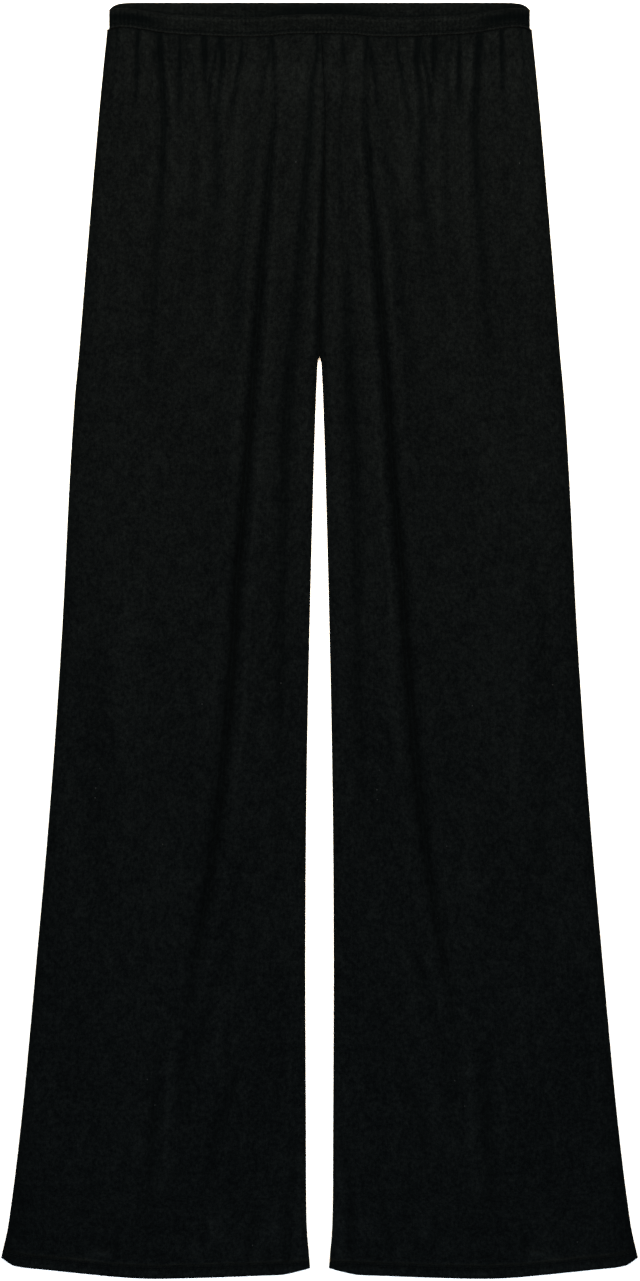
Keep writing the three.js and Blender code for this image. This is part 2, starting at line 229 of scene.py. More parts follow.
addFold("gather 3b", 1.2, 8, 1.3, 0.3, [
    (20, 110.4, 0.25, 1.4), (36, 110.6, 0.2, 1.6), (56, 106, 0.2, 2), (76, 106, 0.3, 2.4),
    (110, 104, 0.24, 3), (160, 106, 0.24, 4), (230, 107, 0, 5)])
addFold("gather 4", 1.8, 9, 1.3, 0.2, [
    (20, 116, 0.22, 1.4), (34, 116, 0.4, 1.6), (44, 116, 0.66, 1.8), (58, 116, 0.76, 2),
    (76, 116, 0.64, 2.2), (98, 115.6, 0, 2.6)])
addFold("gather 5", 3, 15, 1.5, 0.2, [
    (18, 133.2, 0.9, 2), (44, 132.4, 1, 2.6), (66, 130.8, 0.95, 2.7), (97, 129.6, 0.78, 3.6),
    (125, 130.2, 0.68, 3.8), (160, 132.4, 0.5, 4.6), (205, 135.4, 0.42, 5.2), (260, 139.2, 0.3, 5.6),
    (330, 145, 0, 6)])
addFold("gather 5b", 1.2, 7, 1.3, 0.2, [
    (32, 137, 0, 1.3), (44, 137.6, 0.34, 1.5), (60, 138, 0, 1.6)])
addFold("gather 6", 2, 9, 1.3, 0.2, [
    (16, 150.8, 0.75, 1.6), (44, 151.8, 0.8, 1.8), (60, 152.4, 0.72, 2), (78, 153.6, 0.36, 2.4),
    (104, 155, 0, 3)])
addFold("gather 7", 1, 6, 1.3, 0.3, [
    (16, 167.4, 0.4, 1.4), (34, 169, 0.3, 1.6), (58, 171.4, 0.2, 1.6), (76, 173.4, 0.2, 1.8),
    (110, 176, 0, 2)])
addFold("outer", 1.6, 28, 1, 0.5, [
    (440, 183, 0, 9), (560, 184, 0.22, 9), (680, 183, 0.26, 10), (820, 178, 0, 10)])
addFold("calf", 1.2, 16, 1, 0.3, [
    (770, 72, 0, 5), (800, 80, 0.3, 5), (825, 88, 0.32, 5.5), (860, 98, 0.34, 6),
    (905, 108.6, 0.32, 6.5), (960, 112, 0, 6)])
addFold("shin", 1.6, 18, 1, 0.3, [
    (868, 65, 0, 5), (898, 72, 0.36, 5.5), (932, 84, 0.42, 5.5), (968, 90, 0.22, 5), (1000, 92, 0, 5)])
addFold("ankle", 1.7, 18, 1, 0.3, [
    (850, 135, 0, 5), (892, 136.6, 0.36, 5.6), (930, 138.4, 0.62, 5.8), (962, 140, 0.56, 5.4),
    (990, 142.6, 0.36, 5), (1030, 145, 0, 5)])
addFold("inseam", 1.4, 11, 1, 0.3, [
    (935, 21, 0, 3), (970, 22.4, 0.42, 3.4), (1000, 26.6, 0.36, 3.4), (1025, 26, 0.36, 3.4),
    (1049, 27, 0.26, 3)])
addFold("hem 1", 1.1, 9, 0.7, 0.3, [
    (985, 50, 0, 2), (1002, 52.4, 0.34, 2.8), (1020, 56.4, 0.42, 4.2), (1040, 59, 0.48, 2.8),
    (1049, 59.6, 0.3, 2.2)])
addFold("hem 2", 1, 8, 0.6, 0.3, [
    (984, 73, 0, 2), (1004, 71, 0.3, 2.6), (1030, 70.4, 0, 2.4)])
addFold("hem 3", 1, 10, 0.6, 0.3, [
    (1000, 99, 0, 2), (1022, 96, 0.34, 3), (1048, 95, 0.2, 2.6), (1054, 95, 0, 2)])
addFold("hem 4", 1, 10, 1, 0.3, [
    (1008, 166, 0, 2), (1028, 168, 0.36, 3), (1042, 170, 0.3, 2.6), (1050, 171, 0, 2)])

# Small uneven gathers that the elastic draws in, none like the next.
small = {
    "perLeg": 46, "spacing": 3.7, "stray": (-1.5, 1.5), "depth": (0.06, 0.3), "width": (1.2, 2.2),
    "length": (12, 70), "shorter": (0.4, 1), "slant": (-0.05, 0.07), "top": 14, "lower": (0, 26),
}
for leg in ("left", "right"):
    for k in range(small["perLeg"]):
        out = small["spacing"] * (k + 0.5) + rng.uniform(*small["stray"])
        depth, width = rng.uniform(*small["depth"]), rng.uniform(*small["width"])
        length = rng.uniform(*small["length"]) * rng.uniform(*small["shorter"])
        slant = rng.uniform(*small["slant"])
        start = small["top"] + rng.uniform(*small["lower"]) * (rng.uniform() < 0.5)
        atSeam = start < small["top"] + 1
        addFold("small gather", 1.2, 6, 1, 0.3, legs=leg, path=[
            (start, out, depth * atSeam, width),
            (start + 6, out + 6 * slant, depth, width),
            (start + 0.6 * length, out + 0.6 * length * slant, 0.7 * depth, 1.5 * width),
            (start + length, out + length * slant, 0, 2 * width),
        ])

# How the fronts lie apart from their folds.
drape = {
    "restLoft": 1,
    "furrowShare": 0.96,  # how much of the cloth's rise the deepest furrow takes away
    "furrowSteepness": 1.2,
    "edgeReach": 13,
    "inseamReach": 7,
    "waistLift": 1.1,
    "waistLiftReach": 26,
    "waistHold": 0.45,
    "waistHoldReach": 18,
    "crotchBlend": 10,
    "overBack": 1.5,  # the height of the front's underside where it lies lowest
    "hemStep": 0.8,  # how far the front rises over the back's turned-up hem
    "rippleHeight": 0.14,
    "rippleWaves": 34,
    "across": (9, 44),  # the least and the most of one ripple's size each way, turn and height
    "along": (160, 900),
    "turn": (0, 6.28),
    "height": (0.4, 1),
    "hipRipples": 0.9,  # how much stronger the ripples are at the waist
    "hipRipplesDown": (60, 380),
}

# How much painted shade and painted highlight the fronts' open cloth, furrows and seams get.
paintedShading = {
    # painted shade along the side edges, and how far in it reaches
    "sideShade": 0.36,
    "sideReach": (1, 12),
    "hemSideShade": 0.38,  # painted shade that darkens the sides towards the hem, where they roll under
    "hemSideDown": (850, 1010),
    "hemSideReach": (3, 24),
    "crest": 0.22,  # how much highlight is painted on the cloth beside a furrow
    "outerCrest": 0.45,
    "crestAway": (2.1, 0.8),  # where that painted highlight lies, and how wide, in furrow half widths
    # painted highlight on the little rises and painted shade in the dents; then painted shade along the
    # centre seam
    "markLight": 0.5,
    "seamShade": 0.6,
    "waistGlow": 0.07,  # how much highlight is painted on the open cloth below the waist
    "waistGlowReach": (30, 70),
    "waistDark": 0.7,  # how much more shade is painted into the furrows where the waist seam draws them in
    "waistDarkReach": (8, 44),
    # painted shade along the waist seam; then the most painted shade and the most painted highlight
    "waistSeamShade": 0.8,
    "darkest": 0.95,
    "brightest": 0.6,
}

# Soft uneven ripples, much longer down the leg than across it.
fullTurn = 6.283
ripples = [
    {part: rng.uniform(*drape[part]) for part in ("across", "along", "turn", "height")}
    for _ in range(drape["rippleWaves"])
]

# Little rises and dents, the rises also painted lighter and the dents darker: down, out, half length down,
# half length out, rise
dents = [
    (1041, 181, 4, 9, 0.9), (1034, 172, 4, 8, -0.6), (1046, 198, 3, 9, 0.6),
    (975, 182, 1.4, 20, -0.34), (978, 180, 1.6, 20, 0.3), (975.4, 150, 1.4, 14, -0.3),
    (970, 124, 1.4, 11, -0.26), (1019, 89, 9, 7, 0.4), (1019, 38, 12, 6, 0.4),
    (1039, 68, 7, 5, 0.45), (1039, 84, 7, 6, -0.3), (1038, 101, 8, 7, 0.25),
    (1018, 14, 34, 13, 0.34), (1026, 103, 5, 6, -0.3), (880, 125, 24, 4, 0.22),
    (915, 128, 24, 5, 0.18), (400, 141, 55, 12, 0.14), (520, 154, 100, 18, 0.13),
    (725, 128, 70, 15, 0.12), (1035, 112, 12, 34, 0.14), (150, 108, 26, 9, 0.3),
    (128, 70, 30, 6, 0.35), (62, 14, 16, 6, 0.35), (70, 30, 22, 5, 0.2),
]


def dentsAt(out, down):
    for dentDown, dentOut, halfDown, halfOut, dentRise in dents:
        yield dentRise * bell((down - dentDown) / halfDown) * bell((out - dentOut) / halfOut)


def rowAt(fold, down, column):
    # one column of a fold's path, eased from row to row
    downs, values = fold["downs"], fold[column]
    k = np.clip(np.searchsorted(downs, down, side="right") - 1, 0, len(downs) - 2)
    return mix(values[k], values[k + 1], ease(down, downs[k], downs[k + 1]))


def foldAt(fold, out, down):
    # depth, furrow half width and how far a place is from the furrow's bottom
    within = (down >= fold["downs"][0]) & (down <= fold["downs"][-1])
    return rowAt(fold, down, "depths") * within, rowAt(fold, down, "widths"), out - fold["outAt"](down)


def foldsNear(leg, out, down):
    # the folds of one leg, with the other's beside the seam they share, and the rows that each crosses
    highest, lowest = down.reshape(len(down), -1).min(axis=1), down.reshape(len(down), -1).max(axis=1)
    crotch, reach = trousers["crotchDown"], 6
    for fold in folds:
        for side in sideOf:
            if fold["legs"] not in ("both", side):
                continue
            own = side == leg
            end = fold["downs"][-1] if own else min(crotch + reach, fold["downs"][-1])
            rows = np.flatnonzero((lowest >= fold["downs"][0]) & (highest <= end))
            if not len(rows):
                continue
            depth, width, away = foldAt(fold, out[rows] if own else -out[rows], down[rows])
            if not own:
                depth = depth * (1 - ease(down[rows], crotch - reach, crotch + reach))
            yield fold, rows, depth, width, away


def furrow(away, width, soft):
    # a valley with two plain walls and a rounded bottom
    soft = soft * width
    return np.exp(-(np.sqrt(away**2 + soft**2) - soft) / width * drape["furrowSteepness"])


def rolling(share):
    # rises quickly from 0 and levels out at 1
    return 1 - (1 - np.clip(share, 0, 1)) ** 2


def loft(leg, out, down):
    rise = np.full(out.shape, float(drape["restLoft"]))
    kept = np.ones(out.shape)
    for fold, rows, depth, width, away in foldsNear(leg, out, down):
        size = width / fold["widths"].max()
        pull = np.sqrt(depth)
        rise[rows] += fold["swell"] * size * pull * bell(away / (fold["reach"] * size))
        kept[rows] *= 1 - drape["furrowShare"] * pull * furrow(away, width, fold["soft"])
    wave = sum(
        r["height"] * np.sin(fullTurn * (sideOf[leg] * out / r["across"] + down / r["along"]) + r["turn"])
        for r in ripples
    )
    atHips = drape["hipRipples"] * (1 - ease(down, *drape["hipRipplesDown"]))
    rise += drape["rippleHeight"] * (1 + atHips) * wave / math.sqrt(len(ripples) / 4)
    for dentRise in dentsAt(out, down):
        rise += dentRise
    fromTop = down - panelTop("front", out)
    free = mix(drape["waistHold"], 1, ease(fromTop, 0, drape["waistHoldReach"]))
    crotch, blend = trousers["crotchDown"], drape["crotchBlend"]
    toInseam = np.clip((out - inseamOut(down)) / drape["inseamReach"], 0, 1)
    toInseam = mix(1, toInseam, ease(down, crotch - blend, crotch + blend))
    toSide = (sideCurve(down) - out) / drape["edgeReach"]
    return rise * kept * free * rolling(toSide) * rolling(toInseam)


def paintedShadeAndHighlight(leg, out, down):
    # painted shade and highlight: 1 is full painted shade at the bottom of a furrow, 0 open cloth, and below
    # 0 painted highlight where the cloth is proud of the rest
    toSide = sideCurve(down) - out
    # clear is the share left after painted shade, here along the side edges and more so towards the hem
    clear = 1 - paintedShading["sideShade"] * (1 - ease(toSide, *paintedShading["sideReach"]))
    atHem = paintedShading["hemSideShade"] * ease(down, *paintedShading["hemSideDown"])
    clear = clear * (1 - atHem * (1 - ease(toSide, *paintedShading["hemSideReach"])))
    # proud is the painted highlight: below the waist, beside the furrows and on the little rises
    proud = np.zeros(out.shape)
    fromTop = down - panelTop("front", out)
    held = paintedShading["waistDark"] * (1 - ease(fromTop, *paintedShading["waistDarkReach"]))
    proud += paintedShading["waistGlow"] * (1 - ease(fromTop, *paintedShading["waistGlowReach"]))
    crestAway, crestWide = paintedShading["crestAway"]
    # each furrow is painted darker, more so near the waist, and the cloth beside it lighter
    for fold, rows, depth, width, away in foldsNear(leg, out, down):
        slopes = 0.5 * np.clip(1 - np.abs(away) / (2 * width), 0, 1)
        shaded = fold["dark"] * depth * (slopes + 0.6 * bell(away / (0.55 * width)))
        clear[rows] *= 1 - np.clip(shaded * (1 + held[rows]), 0, paintedShading["darkest"])
        crest = paintedShading["crest"] * fold["crest"] * depth
        crest = crest * bell((np.abs(away) - crestAway * width) / (crestWide * width))
        proud[rows] += crest * np.where(away > 0, paintedShading["outerCrest"], 1)
    # the little rises are painted lighter and the dents darker
    for dentRise in dentsAt(out, down):
        mark = paintedShading["markLight"] * dentRise
        proud += np.maximum(mark, 0)
        clear = clear * (1 + np.minimum(mark, 0))
    toSeam = out - inseamOut(down, sideOf[leg])
    # painted shade along the centre seam above the crotch
    clear = clear * (1 - paintedShading["seamShade"] * bell(toSeam / 0.9) * (down < trousers["crotchDown"]))
    # painted shade along the hem's stitching rows, and painted highlights on the step above the hem and near
    # its fold
    up = hemTopDown(out, down) + hem["turnedUp"] - down
    for row in hem["rowsUp"]:
        clear = clear * (1 - hem["rowShade"] * bell((up - row) / 1.1))
    step, roll = bell((up - hem["turnedUp"] - 0.5) / 1.2), bell((up - 3.4) / 1.8)
    proud += hem["stepLight"] * step + hem["foldLight"] * roll
    # painted shade along the waist seam
    clear = clear * (1 - paintedShading["waistSeamShade"] * bell(fromTop / 1.1))
    return (1 - clear) * (1 + 0.6 * held) - np.minimum(proud, paintedShading["brightest"]) * clear


def hemTopDown(out, down):
    start, end = inseamOut(down), sideCurve(down)
    return hemLine(np.clip((out - start) / (end - start), 0, 1)) - hem["turnedUp"]


def frontUnderside(leg, out, down):
    hemTop = hemTopDown(out, down)
    onHem = drape["hemStep"] * ease(down, hemTop - 1.5, hemTop + 1.5)
    fromTop = down - panelTop("front", out)
    toSide = np.clip((sideCurve(down) - out) / drape["edgeReach"], 0, 1)
    onBand = drape["waistLift"] * toSide * (1 - ease(fromTop, 0, drape["waistLiftReach"]))
    return drape["overBack"] + onHem + onBand + loft(leg, out, down)


# Where a place on a piece lies once its rows are bent along the waist seam and the hem.
bend = {"waistEnds": 150, "hemStarts": 860, "hemClear": 20, "cornerClear": 0.8}


def bentDown(half, level, out, share):
    top = panelTop(half, 0)
    hemTop = trousers["length"] - hem["turnedUp"]
    atWaist = (panelTop(half, out) - top) * (1 - ease(level, top, bend["waistEnds"]))
    atHem = ease(level, bend["hemStarts"], hemTop - bend["hemClear"])
    atHem = (hemLine(share) - trousers["length"]) * atHem
    atCorner = hemCornerCut(share) * ease(level, hemTop, trousers["length"] - bend["cornerClear"])
    return level + atWaist + atHem - atCorner


def placeOn(half, nominal, level, stray=0):
    start, end = inseamOut(level, stray), sideCurve(level)
    share = (nominal - start) / (end - start)
    down = bentDown(half, level, nominal, share)
    return mix(inseamOut(down, stray), sideCurve(down), share), down


# The turned-up hem, seen across: its wall, its stitching and the roll of its fold.
hem = {
    "wall": 2.0,
    "rowsUp": (7.9, 9.5),  # where the two rows of stitching run above the fold
    "stitchDent": 0.3,
    # painted shade along the stitching rows, and painted highlights on the step above the hem and near its
    # fold
    "rowShade": 0.66,
    "stepLight": 0.3,
    "foldLight": 0.15,
    "turnedUp": 11,
    "innerRowsUp": (3, 5, 7, 9, 11),  # the rows of the mesh inside the hem
    "foldRadius": 1.0,
    "innerInset": 1.6,
    "stitchLength": 2.5,
    "stitchPitch": 3.1,
    "thread": 0.42,
}
panel = {
    "wall": 1.2,
    "sideRadius": 1.1,
    "centreRadius": (0.1, 0.9),  # at the waist and at the crotch
    "waistRadius": 0.7,
    "hemStep": {"front": 1, "back": 1.4},  # between the mesh's last rows above the hem's fold
    "edgeClear": 0.15,  # how far above the lower face the rolled edges end
}
rollTurns = np.radians([20, 40, 58, 75, 90])
hemTurns = np.radians([25, 50, 75, 100, 125, 150, 180])


def wallAt(level):
    up = trousers["length"] - level
    thicker = 1 - ease(up, hem["turnedUp"] - 1.4, hem["turnedUp"] + 1.4)
    wall = panel["wall"] + (hem["wall"] - panel["wall"]) * thicker
    for row in hem["rowsUp"]:
        wall = wall - hem["stitchDent"] * bell((up - row) / 0.9)
    return wall


def frontFace(leg, nominal, level):
    # the outer face of a front: out, down, height and wall
    out, down = placeOn("front", nominal, level, sideOf[leg])
    wall = wallAt(level) + 0 * out
    return out, down, frontUnderside(leg, out, down) + wall, wall


# Turning a grid of places into a cloth piece.

def choose(piece=None):
    bpy.ops.object.select_all(action="DESELECT")
    if piece:
        piece.select_set(True)
        bpy.context.view_layer.objects.active = piece


def mode(name):
    bpy.ops.object.mode_set(mode=name)


def clothGrid(name, side, out, down, high, paintedShadeAndLight, facing):
    # a grid of places, rows from waist to hem, becomes a sheet with its own chart and its painted shade and
    # highlight
    points = np.stack([side * out, waistY - down, high], axis=2)
    if facing < 0:
        points, paintedShadeAndLight = points[:, ::-1], paintedShadeAndLight[:, ::-1]
    along, across = points.shape[:2]
    bpy.ops.mesh.primitive_grid_add(x_subdivisions=across - 1, y_subdivisions=along - 1, size=1)
    piece = bpy.context.object
    piece.name = piece.data.name = name
    mesh = piece.data
    mesh.vertices.foreach_set("co", (points[::-1] * mm).astype(np.float32).ravel())
    stepsAcross = np.linalg.norm(np.diff(points, axis=1), axis=2)
    stepsAlong = np.linalg.norm(np.diff(points[:, across // 2], axis=0), axis=1)
    u = np.concatenate([np.zeros((along, 1)), np.cumsum(stepsAcross, axis=1)], axis=1)
    v = np.broadcast_to(np.concatenate([[0], np.cumsum(stepsAlong)])[:, None], u.shape)
    chart = np.stack([u - u[:, -1:] / 2, -v], axis=2)[::-1].reshape(-1, 2) * mm
    corners = np.empty(len(mesh.loops), np.int32)
    mesh.loops.foreach_get("vertex_index", corners)
    mesh.uv_layers[0].name = "cloth"
    mesh.uv_layers[0].data.foreach_set("uv", chart[corners].astype(np.float32).ravel())
    # the furrow attribute keeps the painted shade, above 0, and the painted highlight, below 0
    depths = mesh.attributes.new("furrow", "FLOAT", "POINT")
    depths.data.foreach_set("value", paintedShadeAndLight[::-1].astype(np.float32).ravel())
    mesh.update()
    return piece


def thicken(piece, thickness):
    choose(piece)
    bpy.ops.object.modifier_add(type="SOLIDIFY")
    piece.modifiers[-1].thickness = thickness * mm
    bpy.ops.object.modifier_apply(modifier=piece.modifiers[-1].name)
    bpy.ops.object.shade_smooth()


def levelsFrom(top, zones):
    levels = [np.array([top])]
    for until, step in zones:
        count = max(1, round((until - levels[-1][-1]) / step))
        levels.append(np.linspace(levels[-1][-1], until, count + 1)[1:])
    return np.concatenate(levels)


def foldColumns(leg, levels, start, end, columns):
    # columns crowd together where the folds run
    out = start[:, None] + (end - start)[:, None] * np.linspace(0, 1, columns["tries"])
    down = np.broadcast_to(levels[:, None], out.shape)
    crowd = np.ones(out.shape)
    for fold, rows, depth, width, away in foldsNear(leg, out, down):
        near = columns["crowding"] * np.minimum(1, 3 * depth) * bell(away / (1.6 * width)) * 3 / width
        crowd[rows] = np.maximum(crowd[rows], 1 + near)
    crowd += columns["atEdges"] * (bell((out - start[:, None]) / 5) + bell((end[:, None] - out) / 6))
    places = np.cumsum(crowd, axis=1)
    places = (places - places[:, :1]) / (places[:, -1:] - places[:, :1])
    even = np.linspace(0, 1, columns["count"])
    return np.array([np.interp(even, share, row) for share, row in zip(places, out)])


def panelEdges(half, zones, stray=0):
    # a panel's levels, its inner roll, which opens towards the crotch, and where its flat part
    # starts and ends between its rolled long edges
    zones = zones + [(trousers["length"] - hem["foldRadius"], panel["hemStep"][half])]
    levels = levelsFrom(panelTop(half, 0) + panel["waistRadius"], zones)
    atWaist, atCrotch = panel["centreRadius"]
    radius = mix(atWaist, atCrotch, ease(levels, 85, 290))
    radius = mix(radius, panel["sideRadius"], ease(levels, 290, 300))
    return levels, radius, inseamOut(levels, stray) + radius, sideCurve(levels) - panel["sideRadius"]


def rolledEdges(out, down, high, drop, innerRadius):
    # the cloth rolls over to its two long edges, where the seams are
    def rolled(edge, turn, reach):
        sunk = drop[:, edge] * (1 - math.cos(turn))
        return out[:, edge] + reach * math.sin(turn), down[:, edge], high[:, edge] - sunk

    inner, outer = slice(0, 1), slice(-1, None)
    columns = [rolled(inner, turn, -innerRadius[:, None]) for turn in rollTurns[::-1]]
    columns.append((out, down, high))
    columns += [rolled(outer, turn, panel["sideRadius"]) for turn in rollTurns]
    return [np.concatenate(part, axis=1) for part in zip(*columns)]


def squeezed(out, inset):
    middle = (out[:, :1] + out[:, -1:]) / 2
    return middle + (out - middle) * (1 - 2 * inset / (out[:, -1:] - out[:, :1]))


def finishedEdges(levels, middle, innerRadius, sink, keptDrop, low, foot, rest):
    # the top rolls into the waist seam, the hem folds under and runs back up inside,
    # and both long edges roll over
    out, down, high, drop = middle
    radius = panel["waistRadius"]
    top = [
        (out[:1], down[:1] - radius * math.sin(turn), high[:1] - sink * (1 - math.cos(turn)),
         drop[:1] * mix(keptDrop, 1, math.cos(turn)))
        for turn in rollTurns[::-1]
    ]
    turned = []
    for turn in hemTurns:
        over = (1 - math.cos(turn)) / 2
        turned.append((
            squeezed(out[-1:], hem["innerInset"] * over),
            down[-1:] + hem["foldRadius"] * math.sin(turn),
            mix(high[-1:], low, over),
            drop[-1:] * (1 + math.cos(turn)) / 2 + rest,
        ))
    for k in np.searchsorted(levels, trousers["length"] - np.array(hem["innerRowsUp"])):
        row = slice(k, k + 1)
        turned.append((squeezed(out[row], hem["innerInset"]), down[row], foot[row], rest + 0 * drop[row]))
    grid = [np.concatenate(part) for part in zip(*top, middle, *turned)]
    return rolledEdges(*grid, np.pad(innerRadius, (len(top), len(turned)), mode="edge"))


def frontSheet(leg):
    zones = [(60, 1.6), (130, 2.1), (300, 3.2), (960, 4.2), (1040, 2.4)]
    columns = {"count": 132, "crowding": 2.6, "atEdges": 1.5, "tries": 500}
    side = sideOf[leg]
    levels, innerRadius, start, end = panelEdges("front", zones, side)
    nominal = foldColumns(leg, levels, start, end, columns)
    out, down, high, wall = frontFace(leg, nominal, levels[:, None])
    out, down, high = finishedEdges(
        levels, (out, down, high, wall - panel["edgeClear"]), innerRadius, sink=0.9, keptDrop=0.4,
        low=high[-1:] - 2 * hem["foldRadius"] * 0.92, foot=frontUnderside(leg, out, down) + 0.12, rest=0.03,
    )
    return clothGrid(f"front_{leg}_cloth", side, out, down, high, paintedShadeAndHighlight(leg, out, down), facing=side)


def backSheet(leg):
    levels, innerRadius, start, end = panelEdges("back", [(60, 3), (300, 8), (1030, 12)])
    out, down = placeOn("back", spread(start, end, count=44, bunch=0.3), levels[:, None])
    high = np.zeros(out.shape)
    inside = high + 2 * hem["foldRadius"]
    out, down, high = finishedEdges(
        levels, (out, down, high, high - 1.25), innerRadius, sink=-0.9, keptDrop=0.2,
        low=inside[-1:], foot=inside, rest=0,
    )
    side = sideOf[leg]
    return clothGrid(f"back_{leg}_cloth", side, out, down, high, 0 * out, facing=-side)


# The elastic waistband: a casing folded over the elastic, drawn in with fine ruching.
band = {
    "height": 16.2,
    "wall": 2.4,
    "halfWidth": 174.9,
    "topDown": -0.55,  # at the back; the front's is a curve below
    "cornerDown": {"front": 2.6, "back": 6},
    "cornerTurn": 38,  # how suddenly its upper edge drops at its ends
    "sections": 420,
    "around": 68,
    "endCrowding": 0.985,  # how closely the sections crowd together at both ends
    "casing": 0.5,
    "roundness": 0.8,
    "edgeHeight": 0.1,  # the share of the wall that is left at the upper edge and the seam
    "endReach": 1.2,
    "endHeight": 0.08,
    "rollReach": 0.2,  # the share of the height over which the upper edge rolls over
    "seamRoll": 0.035,
    "ruchSpacing": 3.6,
    "ruchHeight": 0.18,
    # painted shade between the ruching's ridges
    "ruchShade": 0.22,
    "seamRowsUp": (2.8, 1.2),
    "seamDents": (0.36, 0.06),
    # painted shade along the upper stitching row and a painted highlight along the lower
    "seamRowShades": (0.75, -0.5),
    "edgeLightDown": 3.1,  # how far below its upper edge the front band has a painted highlight
    "edgeLight": 0.34,
    # painted shade over the front band's face
    "faceShade": 0.16,
    "joinAt": 1.0,
    "joinRise": 0.28,
    "puckerAt": (-2.5, 0.72),
    "puckerDepth": 0.35,
    # painted shade on the back band's outer parts, inside it above the front band, and at the band's ends
    "backShade": 0.2,
    "insideShade": 0.95,
    "cornerShade": 0.95,
    "stitchPitch": 2.9,
    "stitchClear": 1.5,  # how far from the band's ends the stitching stops
}

# how far down the front half's upper edge lies, from the centre outwards: out, down
frontBandTop = smoothCurve([
    (0, 9.4), (20, 9.6), (32, 10.4), (42, 11.5), (60, 12), (80, 11.8), (100, 10.8), (120, 9.8),
    (135, 8.1), (150, 5.5), (162, 4), (176, 3.5)])

# how the ruching's spacing wanders: how much, over what length, from where
ruchWander = [(0.9, 17, 1.3), (0.7, 7.3, 0.4), (0.4, 3.1, 2)]


def bandTop(half, out):
    corner = np.minimum(1, np.abs(out) / band["halfWidth"]) ** band["cornerTurn"]
    edge = frontBandTop(np.abs(out)) if half == "front" else band["topDown"]
    return edge + band["cornerDown"][half] * corner


def panelTop(half, out):
    return bandTop(half, out) + band["height"] + trousers["seamGap"]


def ruching(out):
    wander = sum(much * np.sin(out / length + start) for much, length, start in ruchWander)
    strength = 0.75 + 0.25 * np.sin(out / 23 + 0.6) * np.sin(out / 9.1)
    spacing = band["ruchSpacing"]
    minor = 0.35 * np.sin(11.3 * out / spacing + 2.2 * wander)
    return strength * (np.sin(fullTurn * out / spacing + wander) + minor)


def bandRise(share):
    # how full the casing is across its height: a long roll at the top, a short one at the seam
    toTop, toSeam = share / band["rollReach"], (1 - share) / band["seamRoll"]
    return np.sqrt(rolling(toTop)) * np.sqrt(rolling(toSeam))


def bandBase(half):
    return 0 if half == "back" else band["wall"] + trousers["seamGap"]


def bandFace(half, out, share):
    # height of the casing's upper face at a share of the way down it
    rise = bandRise(share)
    high = band["wall"] * mix(band["edgeHeight"], 1, rise)
    covered = ease(share, 0.3, 0.5) if half == "back" else 0.5 * share
    high = high + band["ruchHeight"] * ruching(out) * rise * (1 - covered)
    if half == "front":
        fromSeam = (1 - share) * band["height"]
        for row, dent in zip(band["seamRowsUp"], band["seamDents"]):
            high = high - dent * bell((fromSeam - row) / 1.1)
        join = band["joinRise"] * bell((out - band["joinAt"]) / 0.7) * bell((share - 0.35) / 0.3)
        puckerOut, puckerShare = band["puckerAt"]
        pucker = band["puckerDepth"] * bell((out - puckerOut) / 9) * bell((share - puckerShare) / 0.07)
        high = high + rise * (join - pucker)
    return bandBase(half) + high


def bandPaintedShadeAndHighlight(half, out, share):
    # painted shade where the band is folded away from the light: at its ends, and inside above the front;
    # the front also gets painted shade over its face, its seam rows and the ruching, and a painted highlight
    # below its upper edge
    ends = ease(np.abs(out), 124, 148)
    ruched = band["ruchShade"] * -ruching(out)
    down = share * band["height"]
    if half == "front":
        shade = band["faceShade"] + band["cornerShade"] * ends * bell((share - 0.47) / 0.28)
        for row, dark in zip(band["seamRowsUp"], band["seamRowShades"]):
            shade = shade + dark * bell((band["height"] - down - row) / 0.9)
        paintedEdgeHighlight = band["edgeLight"] * (0.75 + 0.25 * bell(out / 90) + 0.8 * bell(out / 12))
        return shade + ruched - paintedEdgeHighlight * bell((down - band["edgeLightDown"]) / 1.2)
    toFront = bandTop("front", out) - bandTop("back", out) - down
    middle = bell(out / 58)
    behind = middle * (1 - ease(toFront, 3, 11)) + 0.6 * (1 - middle) * bell((toFront - 0.8) / 1.8)
    paintedOuterShade = band["backShade"] * (1 - middle) + 0.15 * band["cornerShade"] * ends
    return np.maximum(band["insideShade"] * behind, paintedOuterShade) + ruched * (1 - middle)


def bandSheet(half):
    crowding = band["endCrowding"]
    across = np.sin(np.linspace(-1, 1, band["sections"] + 1) * math.pi / 2 * crowding)
    out = band["halfWidth"] * across / math.sin(math.pi / 2 * crowding)
    turn = np.linspace(0, 2 * math.pi, band["around"] + 1)
    share = 0.5 - 0.5 * np.sign(np.cos(turn)) * np.abs(np.cos(turn)) ** band["roundness"]
    out, share = out[:, None] + 0 * share, share[None, :] + 0 * out[:, None]
    upper = np.broadcast_to(turn <= math.pi + 1e-6, share.shape)
    base, wall = bandBase(half), band["wall"]
    underRise = np.clip(1 - np.abs(2 * share - 1) ** 8, 0, 1) ** 0.5
    under = base + band["edgeHeight"] * wall * (1 - underRise)
    high = np.where(upper, bandFace(half, out, share), under)
    # both ends close where the side seam catches the casing
    toEnd = (band["halfWidth"] - np.abs(out)) / band["endReach"]
    endHeight = band["endHeight"]
    high = mix(base + wall / 2, high, np.sqrt(rolling(toEnd)) * (1 - endHeight) + endHeight)
    down = bandTop(half, out) + share * band["height"]
    return clothGrid(f"waistband_{half}_casing", 1, out, down, high, bandPaintedShadeAndHighlight(half, out, share), facing=1)


def closedTube(piece):
    choose(piece)
    mode("EDIT")
    bpy.ops.mesh.select_all(action="SELECT")
    bpy.ops.mesh.remove_doubles(threshold=0.000005)
    bpy.ops.mesh.normals_make_consistent()
    mode("OBJECT")


print("cut and folds ready:", len(folds), "folds,", len(ripples), "ripples")

